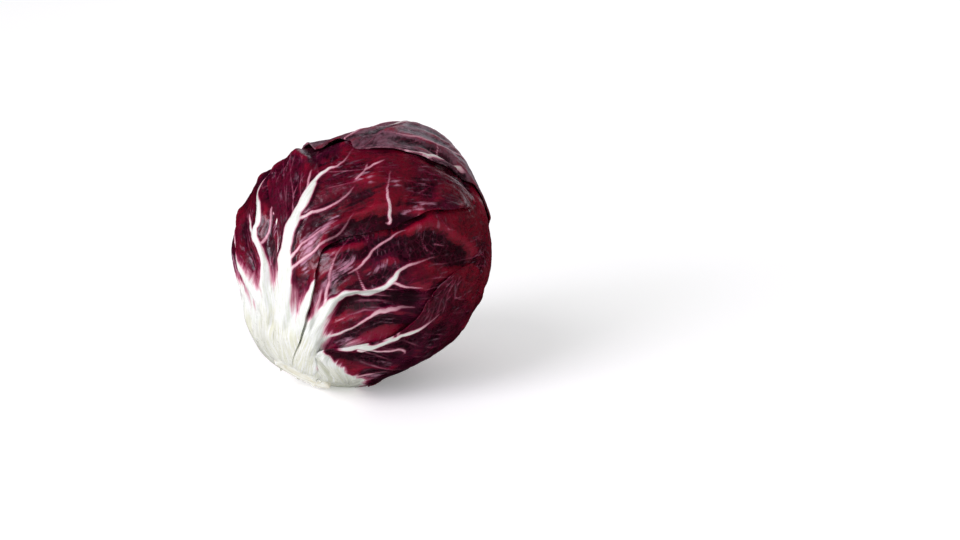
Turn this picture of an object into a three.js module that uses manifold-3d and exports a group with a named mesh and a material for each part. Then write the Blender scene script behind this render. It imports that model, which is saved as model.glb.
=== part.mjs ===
// Radicchio head of the round Chioggia type: wrapper leaves folded one over another round a dense heart,
// all growing from a short stem that is cut off flush.
// Millimetres and degrees, +Z up. The origin is the middle of the flat spot that the head rests on.
//
// The head is built in a frame of its own: its centre at the origin, its tip along +Z and its cut stem
// along -Z. A place on it is a polar angle from the stem and a turn about the axis. The whole head is then
// leaned over on to its side. Each leaf is a sheet laid under all those outside it, so that every layer keeps
// clear of the next.
import * as THREE from 'three';
import { mergeVertices } from 'three/addons/utils/BufferGeometryUtils.js';
import Module from 'manifold-3d';

// Driving dimensions
const head = {
  radius: 58.8, // outside of the wrapped leaves, round the middle
  endRadius: 66.6, // the same from the centre to the tip and to the stem
  restHeight: 60, // centre above the surface that the head rests on
};
const lean = { towards: 48.9, angle: 39.5, spin: -136.8 }; // how the head's own frame is turned
const stem = {
  cutAt: 64.5, // all these are distances below the head's centre
  shoulderAt: 42,
  rootAt: 27,
  neckAt: 24,
  domeAt: 23,
  sideAngle: 12.6, // of the cone from the centre out to the cut face
  rootRadius: 8,
  neckRadius: 4.8,
};
const socket = { clearance: 0.35, beyond: 10.5 }; // in the heart, round the stem and out past its cut face
const heart = { radius: 57, folds: 5, foldDepth: 1.8, twist: 2.2, segments: 50, rings: 38, reach: 6 };
const blade = {
  fromAngle: 13, // the leaves begin here, just clear of the stem's side
  thickness: 1.0,
  baseThickness: 2.0,
  thinsFrom: 15, // polar angles between which the thick base passes into the thin blade
  thinsTo: 55,
  gap: 0.9, // between one layer and the next
  reach: 8, // a leaf clears everything over it within this distance
  baseReach: 4.2, // the same sideways, close to the stem
  smoothing: 4,
  tipRounding: 0.22,
};
const rib = {
  height: 2.6, // of the midrib at its base
  tipHeight: 0.5,
  halfWidth: 2.8,
  sideHeight: 1.1, // of a side rib where it leaves the midrib
  outerShare: 0.3, // what is left of that at the margin
  tipShare: 0.2, // and of that near the tip
  slant: 0.15,
  pressedTo: 3.2, // how far over the ground a rib is still pressed flat, and where it is whole again
  wholeFrom: 11,
};
const margin = {
  lift: 0.6, // how far the margins stand away, from their start at one polar angle to all of it at another
  liftsFrom: 30,
  liftsTo: 70,
  curl: 0.4, // the share of the lift that comes and goes along the margin
  curls: 11,
  curlSlant: 5,
  waves: 9,
  waviness: 0.05,
};
const lobes = { height: 0.5, size: 0.11 };
// Where the outside stands out or sinks: the direction as polar angle and turn, the height and the spread
const swells = [
  { polar: 62, turn: -92, height: 2.6, spread: 0.02 },
  { polar: 44, turn: -100, height: -3, spread: 0.03 },
  { polar: 100, turn: -85, height: 2.8, spread: 0.015 },
  { polar: 126, turn: -90, height: -4.4, spread: 0.08 },
  { polar: 143, turn: -68, height: -7.5, spread: 0.04 },
  { polar: 44, turn: 98, height: -3, spread: 0.05 },
  { polar: 14, turn: 95, height: -3.5, spread: 0.02 },
];

// The wrapper leaves, outermost first. azimuth is the leaf's turn about the head's axis and tip the polar
// angle that it reaches. midrib is the rib's sideways bend in degrees, and left and right the half widths in
// millimetres, each at even steps from base to tip. wrap narrows the turn so that a leaf can fold on over the
// tip of the head, to a polar angle beyond 180.
const leaves = [
  {
    azimuth: 50, tip: 100, wrap: 0, midrib: [40, -33, -20, -8, -2, 2, 4, 6],
    left: [18, 6, 5, 5, 8, 12, 14, 10], right: [18, 44, 58, 62, 62, 58, 48, 30],
  },
  {
    azimuth: 141, tip: 233, wrap: 0.58, midrib: [0, 4, 2, -3, 1, 0],
    left: [10, 30, 50, 44, 46, 32], right: [10, 28, 56, 64, 58, 42],
  },
  {
    azimuth: -32, tip: 160, wrap: 0, midrib: [2, 1, -1, -3, 0, 4, 7],
    left: [5, 4.5, 8, 34, 48, 30], right: [3, 8, 17, 48, 62, 38],
  },
  {
    azimuth: 8, tip: 130, wrap: 0, midrib: [-12, -13, -12, -7, 12, 18, 23, 26, 28],
    left: [6, 10, 30, 46, 44, 28], right: [7, 13, 30, 40, 42, 28],
  },
  {
    azimuth: -54, tip: 140, wrap: 0, midrib: [-18, 4, 4, -3, -14, -16, -14],
    left: [6, 10, 22, 34, 40, 28], right: [6, 9, 20, 34, 38, 25],
  },
  {
    azimuth: -95, tip: 138, wrap: 0.05, midrib: [-27, 10, 13, 7, 3, 1],
    left: [10, 26, 42, 48, 48, 30], right: [7, 12, 26, 40, 42, 28],
  },
  {
    azimuth: -152, tip: 176, wrap: 0.3, midrib: [6, -4, -6, 0, 3, 0],
    left: [8, 18, 40, 56, 56, 36], right: [12, 30, 48, 56, 52, 34],
  },
  {
    azimuth: 98, tip: 180, wrap: 0.3, midrib: [-8, 2, 5, 0, -4, 0],
    left: [8, 14, 38, 54, 54, 34], right: [8, 15, 38, 52, 54, 34],
  },
  {
    azimuth: 40, tip: 150, wrap: 0.1, midrib: [-4, 4, 6, 0, 0, 0],
    left: [9, 18, 44, 56, 54, 34], right: [9, 18, 44, 58, 54, 34],
  },
  {
    azimuth: -74, tip: 172, wrap: 0.25, midrib: [0, -3, 2, 0, 0, 0],
    left: [9, 18, 44, 56, 54, 34], right: [9, 18, 44, 56, 54, 34],
  },
  {
    azimuth: -172, tip: 184, wrap: 0.35, midrib: [0, 3, -2, 0, 0, 0],
    left: [9, 20, 46, 58, 56, 36], right: [9, 20, 46, 56, 54, 34],
  },
];

// The lines of each leaf's grid: across it from margin to margin, close together at the midrib, and along it
// from base to tip, close together at each pair of side ribs.
const acrossLines = [-1, -0.86, -0.7, -0.54, -0.38, -0.24, -0.11, 0, 0.11, 0.24, 0.38, 0.54, 0.7, 0.86, 1];
const sideRibs = [0.3, 0.52, 0.74];
const ribEdge = 0.035;
const alongLines = [
  0, 0.07, 0.14, 0.205, 0.41, 0.63, 0.85, 0.925, 1,
  ...sideRibs.flatMap((at) => [at - ribEdge, at, at + ribEdge]),
].sort((a, b) => a - b);

const colours = { leaf: 0x6f0c26, heart: 0x8a1f3c, stem: 0xe9e2c8 };

const wasm = await Module();
wasm.setup();

const radians = THREE.MathUtils.degToRad;
const mix = THREE.MathUtils.lerp;
const rise = THREE.MathUtils.smoothstep;

const turned = (axis, degrees) => new THREE.Quaternion().setFromAxisAngle(axis, radians(degrees));
const axisY = new THREE.Vector3(0, 1, 0);
const axisZ = new THREE.Vector3(0, 0, 1);
const pose = turned(axisZ, lean.towards)
  .multiply(turned(axisY, lean.angle))
  .multiply(turned(axisZ, lean.spin));
const down = new THREE.Vector3(0, 0, -1).applyQuaternion(pose.clone().invert());

// A value that runs smoothly through evenly spaced stations, with t from 0 to 1
function throughStations(stations, t) {
  const place = t * (stations.length - 1);
  const i = Math.min(Math.floor(place), stations.length - 2);
  const f = place - i;
  const [b, c] = [stations[i], stations[i + 1]];
  const [a, d] = [stations[i - 1] ?? b, stations[i + 2] ?? c];
  return b + 0.5 * f * (c - a + f * (2 * a - 5 * b + 4 * c - d + f * (3 * (b - c) + d - a)));
}

// The direction, in the head's frame, with this polar angle from the stem and turn about the axis, in radians
function directionAt(polar, turn) {
  return new THREE.Vector3(Math.cos(turn), Math.sin(turn), 0)
    .multiplyScalar(Math.sin(polar))
    .setZ(-Math.cos(polar));
}

// Where a point of the leaf lies, as a direction: across runs from -1 to 1 and along from 0 to 1
function leafDirection(leaf, across, along) {
  const reached = along * (1 - blade.tipRounding * Math.abs(across) ** 3 * along * along);
  const polar = radians(mix(blade.fromAngle, leaf.tip, reached));
  const halfWidth = throughStations(across < 0 ? leaf.left : leaf.right, reached);
  const ripple = Math.sin(margin.waves * Math.PI * reached + leaf.azimuth);
  const wave = 1 + margin.waviness * across * across * ripple;
  const spread = Math.sin(polar) + leaf.wrap * (1 - Math.cos(polar));
  const bend = radians(throughStations(leaf.midrib, reached));
  const turn = bend + (across * halfWidth * wave) / (head.radius * spread);
  // A map of the sphere on a plane, seen from the tip, in which folding over is a division
  const distance = 1 / (1 / Math.tan(polar / 2) + leaf.wrap);
  const [x, y] = [distance * Math.cos(turn), distance * Math.sin(turn)];
  const [p, q] = [1 - leaf.wrap * x, -leaf.wrap * y];
  const size = p * p + q * q;
  const foldedX = (x * p + y * q) / size;
  const foldedY = (y * p - x * q) / size;
  return directionAt(
    2 * Math.atan(Math.hypot(foldedX, foldedY)),
    radians(leaf.azimuth) + Math.atan2(foldedY, foldedX),
  );
}

// How far out in this direction the surface lies that the head rests on
function groundAt(direction) {
  const facing = direction.dot(down);
  return facing > 0.5 ? head.restHeight / facing : Infinity;
}

// The head's own rounded, gently uneven outside
function headRadius(direction) {
  const { x, y, z } = direction;
  const round = 1 / Math.hypot(Math.hypot(x, y) / head.radius, z / head.endRadius);
  const swollen = swells.reduce((sum, { polar, turn, height, spread }) => {
    const apart = 1 - direction.dot(directionAt(radians(polar), radians(turn)));
    return sum + height * Math.exp(-apart / spread);
  }, 0);
  const [p, q, r] = [x, y, z].map((value) => value / lobes.size);
  const uneven = Math.sin(0.5 * p + 0.9 * q) + Math.sin(0.8 * r - 0.6 * p) * Math.sin(0.7 * q + 0.3 * r);
  return round + swollen + lobes.height * uneven;
}

// How far the leaf has passed, at this polar angle, from its thick base into its thin blade
function thinning(polar) {
  return rise(polar, radians(blade.thinsFrom), radians(blade.thinsTo));
}

// How far the leaf's margins stand away, curling in and out
function marginLift(across, along, polar) {
  const edge = Math.max(Math.abs(across) ** 6, along ** 8);
  const curl = Math.sin(margin.curls * along + margin.curlSlant * across);
  const begun = rise(polar, radians(margin.liftsFrom), radians(margin.liftsTo));
  return margin.lift * edge * begun * (1 - margin.curl + margin.curl * curl);
}

// How far the leaf's ribs stand out of its blade. What the head rests on presses them flat.
function ribRelief(leaf, across, row, direction) {
  const offMidrib = across * throughStations(across < 0 ? leaf.left : leaf.right, row);
  const midrib = mix(rib.height, rib.tipHeight, row) * Math.exp(-((offMidrib / rib.halfWidth) ** 2));
  const sideHeight = rib.sideHeight * mix(1, rib.outerShare, Math.abs(across)) * mix(1, rib.tipShare, row);
  const side = sideRibs.includes(row) ? sideHeight : 0;
  const unpressed = rise(groundAt(direction), head.radius + rib.pressedTo, head.radius + rib.wholeFrom);
  return Math.max(midrib, side) * unpressed;
}

// Whether two directions are close enough for the leaves there to touch. Near the stem, where the leaves are
// narrow, they have to be closer sideways.
const cosReach = Math.cos(blade.reach / head.radius);

function areNear(a, b) {
  if (a.dot(b) < cosReach) return false;
  const polar = Math.acos(-a.z);
  const sideways = Math.abs(a.x * b.y - a.y * b.x) / Math.sin(polar);
  return sideways * head.radius < mix(blade.baseReach, blade.reach, thinning(polar));
}

const laid = []; // points on the inner faces of the leaves laid so far: their directions and radii

// How far out there is room in this direction, under the leaves that are already laid
function roomAt(direction, isNear) {
  return laid.reduce(
    (room, point) => (isNear(direction, point.direction) ? Math.min(room, point.radius - blade.gap) : room),
    groundAt(direction),
  );
}

// A leaf's inner face, as points at and midway between those of its grid
function innerPoints(rows) {
  const place = (j, i) => rows[j][i].direction.clone().multiplyScalar(rows[j][i].inner);
  return rows.flatMap((line, j) => line.flatMap((_, i) => {
    const here = place(j, i);
    const ends = [[j, i], [j, i + 1], [j + 1, i], [j + 1, i + 1]].filter(([m, n]) => rows[m]?.[n]);
    return ends.map(([m, n]) => here.clone().add(place(m, n)).divideScalar(2));
  })).map((point) => ({ radius: point.length(), direction: point.normalize() }));
}

// Lays one leaf under those outside it, and returns its grid of points
function lay(leaf) {
  const rows = alongLines.map((row) => acrossLines.map((across) => {
    const along = row + rib.slant * 4 * row * (1 - row) * Math.abs(across);
    const direction = leafDirection(leaf, across, along);
    const polar = Math.acos(-direction.z);
    const thickness = mix(blade.baseThickness, blade.thickness, thinning(polar));
    const relief = ribRelief(leaf, across, row, direction);
    const free = headRadius(direction) + marginLift(across, along, polar);
    const ceiling = Math.min(free, roomAt(direction, areNear) - relief);
    return { direction, thickness, relief, ceiling, skin: ceiling, isPressed: groundAt(direction) < free };
  }));
  for (let pass = 0; pass < blade.smoothing; pass++) {
    const before = rows.map((line) => line.map((point) => point.skin));
    rows.forEach((line, j) => line.forEach((point, i) => {
      const around = [before[j - 1]?.[i], before[j + 1]?.[i], before[j][i - 1], before[j][i + 1]]
        .filter((value) => value !== undefined);
      const average = around.reduce((sum, value) => sum + value, 0) / around.length;
      if (!point.isPressed) point.skin = Math.min(point.ceiling, average);
    }));
  }
  rows.flat().forEach((point) => {
    point.outer = point.skin + point.relief;
    point.inner = point.skin - point.thickness;
  });
  laid.push(...innerPoints(rows));
  return rows;
}

// A closed sheet from a leaf's grid: outer face, inner face and the rim between them
function leafGeometry(rows) {
  const [count, width] = [rows.length, rows[0].length];
  const place = (point, radius) => point.direction.clone().multiplyScalar(radius).toArray();
  const positions = [
    ...rows.flat().flatMap((point) => place(point, point.outer)),
    ...rows.flat().flatMap((point) => place(point, point.inner)),
  ];
  const inside = count * width;
  const at = (j, i) => j * width + i;
  const faces = [];
  const quad = (a, b, c, d) => faces.push(a, b, c, a, c, d);
  for (let j = 0; j < count - 1; j++) {
    for (let i = 0; i < width - 1; i++) {
      const [a, b, c, d] = [at(j, i), at(j, i + 1), at(j + 1, i + 1), at(j + 1, i)];
      quad(a, b, c, d);
      quad(inside + a, inside + d, inside + c, inside + b);
    }
  }
  const rim = [
    ...rows[0].map((_, i) => at(0, i)),
    ...rows.slice(1).map((_, j) => at(j + 1, width - 1)),
    ...rows[0].slice(1).map((_, i) => at(count - 1, width - 2 - i)),
    ...rows.slice(2).map((_, j) => at(count - 2 - j, 0)),
  ];
  rim.forEach((a, n) => {
    const b = rim[(n + 1) % rim.length];
    quad(b, a, inside + a, inside + b);
  });
  const geometry = new THREE.BufferGeometry();
  geometry.setAttribute('position', new THREE.Float32BufferAttribute(positions, 3));
  geometry.setIndex(faces);
  geometry.computeVertexNormals();
  return geometry;
}

// A closed geometry as a solid to cut and join, and back
function solidOf(geometry) {
  const bare = new THREE.BufferGeometry();
  bare.setAttribute('position', geometry.getAttribute('position'));
  bare.setIndex(geometry.getIndex());
  const merged = mergeVertices(bare, 1e-4);
  return new wasm.Manifold(new wasm.Mesh({
    numProp: 3,
    vertProperties: new Float32Array(merged.getAttribute('position').array),
    triVerts: new Uint32Array(merged.getIndex().array),
  }));
}

function geometryOf(solid) {
  const mesh = solid.getMesh();
  const geometry = new THREE.BufferGeometry();
  geometry.setAttribute('position', new THREE.BufferAttribute(mesh.vertProperties, 3));
  geometry.setIndex(new THREE.BufferAttribute(mesh.triVerts, 1));
  geometry.computeVertexNormals();
  return geometry;
}

// The stem, standing along the head's axis: a cone out to the cut face, and a tapering root inside the heart.
// grow makes it that much larger all round and beyond that much longer, as the heart's socket for it.
function stemGeometry(grow, beyond) {
  const slope = Math.tan(radians(stem.sideAngle));
  const cutAt = stem.cutAt + beyond;
  const profile = [
    [0, -cutAt],
    [slope * cutAt + grow, -cutAt],
    [slope * stem.shoulderAt + grow, -stem.shoulderAt],
    [stem.rootRadius + grow, -stem.rootAt],
    [stem.neckRadius + grow, -stem.neckAt + grow],
    [0, -stem.domeAt + grow],
  ];
  const lathe = new THREE.LatheGeometry(profile.map(([r, z]) => new THREE.Vector2(r, z)), 24);
  return lathe.rotateX(Math.PI / 2);
}

// The heart: the packed inner leaves as one body, each fold lapping over the next, with a socket for the stem
function heartGeometry() {
  const cosHeartReach = Math.cos(heart.reach / head.radius);
  const isUnder = (a, b) => a.dot(b) > cosHeartReach;
  const ball = new THREE.SphereGeometry(1, heart.segments, heart.rings).rotateX(Math.PI / 2);
  const positions = ball.getAttribute('position');
  for (let i = 0; i < positions.count; i++) {
    const direction = new THREE.Vector3().fromBufferAttribute(positions, i).normalize();
    const turns = Math.atan2(direction.y, direction.x) / (2 * Math.PI);
    const fold = THREE.MathUtils.euclideanModulo(heart.folds * turns + heart.twist * direction.z, 1);
    const radius = Math.min(heart.radius, roomAt(direction, isUnder)) - heart.foldDepth * fold;
    positions.setXYZ(i, ...direction.multiplyScalar(radius).toArray());
  }
  return geometryOf(solidOf(ball).subtract(solidOf(stemGeometry(socket.clearance, socket.beyond))));
}

function material(colour, roughness) {
  return new THREE.MeshStandardMaterial({ color: colour, roughness, metalness: 0 });
}

function named(name, geometry, colour, roughness) {
  const mesh = new THREE.Mesh(geometry, material(colour, roughness));
  mesh.name = name;
  return mesh;
}

const grids = leaves.map(lay);

const radicchio = new THREE.Group();
radicchio.add(named('cut_stem', stemGeometry(0, 0), colours.stem, 0.6));
radicchio.add(named('heart', heartGeometry(), colours.heart, 0.5));
grids.forEach((rows, n) => {
  const number = String(n + 1).padStart(2, '0');
  radicchio.add(named(`wrapper_leaf_${number}`, leafGeometry(rows), colours.leaf, 0.4));
});
radicchio.quaternion.copy(pose);
radicchio.position.set(0, 0, head.restHeight);

export default radicchio;
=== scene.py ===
import math
from types import SimpleNamespace

import bpy
import numpy as np
from mathutils import Euler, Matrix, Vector
from mathutils.bvhtree import BVHTree


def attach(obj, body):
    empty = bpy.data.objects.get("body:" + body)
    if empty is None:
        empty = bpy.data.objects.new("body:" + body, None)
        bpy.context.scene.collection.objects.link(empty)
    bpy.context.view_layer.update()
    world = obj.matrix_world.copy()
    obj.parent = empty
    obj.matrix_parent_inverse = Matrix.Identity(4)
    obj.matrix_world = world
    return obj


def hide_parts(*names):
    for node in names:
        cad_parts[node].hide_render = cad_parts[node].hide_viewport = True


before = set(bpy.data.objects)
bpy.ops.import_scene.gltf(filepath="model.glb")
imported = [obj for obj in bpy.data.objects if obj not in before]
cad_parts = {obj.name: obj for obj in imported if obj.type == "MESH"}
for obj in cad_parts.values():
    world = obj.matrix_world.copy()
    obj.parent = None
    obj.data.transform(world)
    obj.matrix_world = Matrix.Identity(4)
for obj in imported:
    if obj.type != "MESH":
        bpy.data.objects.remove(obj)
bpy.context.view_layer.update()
print("frame loaded:", len(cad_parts), "nodes")

# The head is worked out in its own frame, in millimetres and degrees, as the CAD part is: the centre at
# the origin, the cut stem along -Z and the tip along +Z. A place on it is a polar angle from the stem and
# a turn about the axis.
mm = 0.001
farOff = 1e3  # further out than anything here
head = {"radius": 58.8, "endRadius": 66.6, "restHeight": 60,
        "lobeHeight": 0.5, "lobeSize": 0.11,
        "towards": 48.9, "angle": 39.5, "spin": -136.8}
# Where the outside stands out or sinks: polar, turn, height, spread
swells = [(62, -92, 2.6, 0.02), (44, -100, -3, 0.03), (100, -85, 2.8, 0.015), (126, -90, -4.4, 0.08),
          (143, -68, -7.5, 0.04), (44, 98, -3, 0.05), (14, 95, -3.5, 0.02)]

# One row a leaf, outermost first: its turn, the polar angle of its tip and how far it folds on over the
# head's tip, then from base to tip the bends of its midrib and its half widths to the left and right, and
# the cells of its grid across and along. The rows are those of the CAD part, but leaves 3, 5 and 6 have
# wider bases here, so that their whites meet.
leafColumns = ("azimuth", "tip", "wrap", "midrib", "left", "right", "cells")
leafRows = [
    (50, 100, 0, [40, -33, -20, -8, -2, 2, 4, 6],
     [18, 6, 5, 5, 8, 12, 14, 10], [18, 44, 58, 62, 62, 58, 48, 30], (150, 160)),
    (141, 233, 0.58, [0, 4, 2, -3, 1, 0],
     [10, 30, 50, 44, 46, 32], [10, 28, 56, 64, 58, 42], (190, 230)),
    (-32, 160, 0, [2, 1, -1, -3, 0, 4, 7],
     [5, 4.5, 8, 34, 48, 30], [2, 13.5, 18, 48, 62, 38], (195, 235)),
    (8, 130, 0, [-12, -13, -12, -7, 12, 18, 23, 26, 28],
     [6, 10, 30, 46, 44, 28], [7, 13, 30, 40, 42, 28], (160, 190)),
    (-54, 140, 0, [-18, 4, 4, -3, -14, -16, -14],
     [8, 11, 22, 34, 40, 28], [9, 12, 20, 34, 38, 25], (130, 190)),
    (-95, 138, 0.05, [-27, 10, 13, 7, 3, 1],
     [10, 26, 42, 48, 48, 30], [9, 18, 28, 40, 42, 28], (140, 170)),
    (-152, 176, 0.3, [6, -4, -6, 0, 3, 0],
     [8, 18, 40, 56, 56, 36], [12, 30, 48, 56, 52, 34], (110, 140)),
    (98, 180, 0.3, [-8, 2, 5, 0, -4, 0],
     [8, 14, 38, 54, 54, 34], [8, 15, 38, 52, 54, 34], (100, 125)),
    (40, 150, 0.1, [-4, 4, 6, 0, 0, 0],
     [9, 18, 44, 56, 54, 34], [9, 18, 44, 58, 54, 34], (64, 76)),
    (-74, 172, 0.25, [0, -3, 2, 0, 0, 0],
     [9, 18, 44, 56, 54, 34], [9, 18, 44, 56, 54, 34], (64, 76)),
    (-172, 184, 0.35, [0, 3, -2, 0, 0, 0],
     [9, 20, 46, 58, 56, 36], [9, 20, 46, 56, 54, 34], (64, 76)),
]
leaves = [dict(zip(leafColumns, row)) for row in leafRows]

# Ribs and veins with a course of their own: places as polar angle, turn and half width in millimetres
courses = {
    1: [
        [(15, 60, 3.2), (23, 30, 3.2), (30, 1, 2.2), (34, 8, 1.9), (37, 18, 1.7), (41, 26, 1.5),
         (43, 33, 1.5), (48, 36, 1.4), (53, 39, 1.2), (58, 42, 1), (64, 46, 0.7), (72, 50, 0.4)],
        [(39, 27, 0.8), (41, 35, 0.6), (45, 44, 0.5), (49, 50, 0.5), (50, 54, 0.4), (48, 56, 0.3)],
        [(50, 38, 0.45), (53, 39, 0.4), (56, 37, 0.3), (61, 33, 0.2)],
        [(24, 40, 0.9), (27, 52, 0.5), (32, 62, 0.35), (38, 66, 0.25)],
    ],
    2: [
        [(131, -4, 0.4), (134, 6, 0.7), (136, 14, 0.8), (140, 24, 0.9), (143, 34, 0.9), (143, 46, 0.6)],
        [(140, 22, 0.5), (146, 18, 0.35), (152, 16, 0.2)],
        [(152, 60, 0.3), (152, 36, 0.35), (149, 14, 0.35), (145, -6, 0.3), (139, -22, 0.15)],
    ],
    3: [
        [(16, -23, 5.5), (24, -27, 5.4), (30, -29, 5), (38, -30, 4.5), (46, -31, 4), (55, -32, 3.7),
         (63, -34, 3.4), (70, -35, 3.1), (78, -35, 2.8), (87, -34, 2.3), (96, -34, 1.5), (100, -34, 1.1),
         (106, -32, 0.7), (109, -29, 0.6), (114, -28, 0.55), (123, -29, 0.35)],
        [(76, -35, 1.1), (81, -32, 0.65), (86, -27, 0.5), (94, -20, 0.4), (103, -16, 0.25)],
        [(50, -30, 1.4), (55, -31, 1), (61, -27, 0.55), (70, -20, 0.4), (81, -14, 0.32), (92, -11, 0.2)],
        [(117, -5, 0.15), (111, -3, 0.25), (106, -1, 0.45), (100, 3, 0.7), (96, 6, 0.65), (95, 4, 0.4)],
        [(113, -16, 0.3), (118, -13, 0.4), (122, -10, 0.2)],
        [(106, -17, 0.4), (112, -16, 0.35), (117, -17, 0.2)],
        [(90, -34, 0.6), (97, -37, 0.35), (104, -40, 0.25)],
        [(17, -25, 2.4), (26, -20, 2.8), (33, -15, 3.2), (39, -14, 3.1), (45, -14.5, 2.7), (51, -15, 2),
         (58, -14, 1.3), (65, -12, 0.4)],
        [(60, -33, 1.2), (66, -29, 0.5), (72, -26, 0.4), (80, -20, 0.3), (86, -16, 0.2)],
    ],
    4: [
        [(15, -6, 5), (23, -5, 4.9), (30, -6, 4.2), (37, -7, 3.3), (42, -6, 2.6), (47, -4, 2.2),
         (52, -2, 1.9), (55, 0, 1.7), (58, 3, 1.6), (61, 10, 1.6), (65, 15, 1.5), (70, 18, 1.2),
         (75, 19, 1), (79, 20, 0.9), (86, 26, 0.6), (92, 33, 0.35)],
        [(31, 1, 1), (37, 6, 0.7), (44, 13, 0.65), (50, 16, 0.6), (56, 19, 0.55), (60, 24, 0.5),
         (64, 30, 0.4), (68, 37, 0.25)],
        [(66, -1, 0.25), (74, 3, 0.45), (82, 5, 0.4), (91, 10, 0.3), (97, 14, 0.2)],
        [(48, -5, 0.8), (56, -8, 0.4), (66, -10, 0.35), (76, -9, 0.2)],
        [(40, -7, 0.8), (48, -9, 0.45), (56, -11, 0.3)],
        [(62, 11, 0.5), (66, 5, 0.3), (70, 1, 0.2)],
        [(72, 19, 0.5), (74, 27, 0.35), (77, 33, 0.2)],
    ],
    5: [
        [(14, -72, 4.6), (22, -56, 3.8), (30, -47, 2.9), (38, -43, 2.4), (44, -44, 2.1), (50, -46, 1.7),
         (57, -48, 1.4), (64, -53, 1.6), (70, -58, 1.9), (75, -57, 1.8), (82, -60, 1.5), (88, -67, 1.1),
         (96, -71, 0.7), (106, -73, 0.35)],
        [(30, -43, 1.8), (43, -37, 1.5), (56, -38, 1.5), (66, -40, 1.3), (74, -43, 1), (84, -48, 0.4)],
        [(67, -57, 1), (73, -64, 0.8), (79, -71, 0.4)],
        [(64, -53, 0.5), (73, -50, 0.35), (84, -53, 0.3), (96, -56, 0.3), (104, -57, 0.2)],
        [(80, -50, 0.4), (88, -48, 0.35), (96, -46, 0.2)],
        [(26, -54, 2.4), (32, -50, 2.2), (37, -50, 2), (42, -54, 1.8), (47, -60, 1.6), (53, -67, 1.3),
         (58, -73, 0.9), (64, -78, 0.4)],
        [(100, -66, 0.3), (103, -58, 0.3), (106, -50, 0.2)],
    ],
    6: [
        [(15, -112, 4.6), (25, -72, 3.4), (34, -56, 2.4), (42, -54, 1.8), (47, -59, 1.5), (53, -68, 1.3),
         (60, -76, 1), (68, -84, 0.7), (78, -90, 0.35)],
        [(18, -118, 3.6), (26, -101, 2.8), (34, -84, 1.9), (41, -78, 1.2), (50, -84, 0.8), (60, -92, 0.4)],
        [(36, -80, 1), (44, -86, 0.6), (52, -93, 0.3)],
    ],
}
# Strips of bare ivory rib beside the white ones, as courses are given
ivoryStrips = {
    3: [[(38, -36.5, 1), (46, -38, 1.5), (54, -39.5, 1.6), (62, -41.5, 1.5), (70, -43.5, 1.2),
         (78, -45, 0.6)]],
    6: [[(20, -92, 3), (29, -76, 2.6), (36, -66, 1.8), (44, -66, 1), (50, -70, 0.5)]],
}
# Where a blade is duller and more purple, partly its own tone and partly painted shade: polar, turn and reach
# in millimetres
duskSpots = {
    1: [(46, 62, 26), (24, 84, 22)],
    3: [(94, 16, 17), (108, 34, 20), (118, -50, 16)],
    4: [(82, 12, 13), (62, 32, 20), (38, 22, 9)],
    5: [(100, -74, 14)],
    6: [(70, -96, 18)],
}
# Where pale lilac gloss patches are painted on the skin as painted reflections, as courses are given
blooms = {
    3: [[(60, -22, 1.6), (67, -24, 3), (74, -23.5, 3.2), (80, -22, 1.6)],
        [(70, -27, 1.2), (77, -26.5, 0.8)],
        [(79, -20, 1.2), (84, -19, 1.8), (88, -17, 1)], [(107, -16, 1.6), (112, -15, 1)],
        [(108, -11, 1), (111, -12, 0.7)], [(113, 0, 0.9), (115, 2, 0.6)],
        [(103, 10, 0.8), (107, 14, 1.2), (111, 17, 0.8), (113, 22, 0.6)], [(92, 12, 0.8), (97, 15, 0.6)]],
    4: [[(50, -12, 0.9), (57, -9.5, 1.6), (63, -7, 1.3), (68, -6, 0.6)],
        [(58, -6.5, 1), (65, -5, 1.7), (70, -3, 1.6), (75, -1, 0.8)],
        [(70, 8, 0.6), (76, 11, 0.8), (80, 13, 0.4)], [(34, 14, 0.8), (40, 20, 0.8)]],
    5: [[(71, -46, 1.3), (78, -46, 1.8), (84, -46, 0.9)], [(75, -39.5, 0.9), (81, -40, 0.7)],
        [(101, -47, 0.8), (107, -51, 0.6)], [(95, -64, 1), (98, -55, 0.7)],
        [(60, -52, 0.8), (67, -54, 0.6)]],
    6: [[(47, -78, 1.4), (56, -84, 1.6), (64, -92, 0.8)]],
    1: [[(24, 56, 1), (28, 64, 1.4), (34, 70, 0.8)]],
    7: [[(70, -150, 1.8), (84, -146, 2.2)], [(60, -120, 1.4), (76, -116, 1.8)]],
}
# The leaves whose first course is their midrib, and those whose side veins are bold
drawnMidribs = {1, 3, 4, 5, 6}
boldVeins = {2, 7}
print("leaf tables ready")


def turnMatrix(axis, degrees):
    return np.array(Euler([math.radians(degrees) if axis == k else 0 for k in "XYZ"]).to_matrix())


headTurn = (turnMatrix("Z", head["towards"]) @ turnMatrix("Y", head["angle"])
            @ turnMatrix("Z", head["spin"]))
down = np.array([0, 0, -1]) @ headTurn
headCentre = Vector((0, 0, head["restHeight"] * mm))


# Head frame in millimetres to the scene's frame in metres
def toScene(points):
    return (points @ headTurn.T + np.array([0, 0, head["restHeight"]])) * mm


def mix(a, b, t):
    return a + (b - a) * t


# From 0 at the start to 1 at the end, level at both
def rise(value, start, end):
    t = np.clip((value - start) / (end - start), 0, 1)
    return t * t * (3 - 2 * t)


# A smooth line through values at even steps, read at t from 0 to 1
def throughStations(stations, t):
    place = t * (len(stations) - 1)
    i = np.clip(np.floor(place).astype(int), 0, len(stations) - 2)
    f = place - i
    padded = np.array([stations[0], *stations, stations[-1]], float)
    a, b, c, d = (padded[i + k] for k in range(4))
    return b + 0.5 * f * (c - a + f * (2 * a - 5 * b + 4 * c - d + f * (3 * (b - c) + d - a)))


def directionAt(polar, turn):
    return np.stack([np.sin(polar) * np.cos(turn), np.sin(polar) * np.sin(turn), -np.cos(polar)], -1)


def directionOf(polarDegrees, turnDegrees):
    return directionAt(np.radians(polarDegrees), np.radians(turnDegrees))


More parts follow.
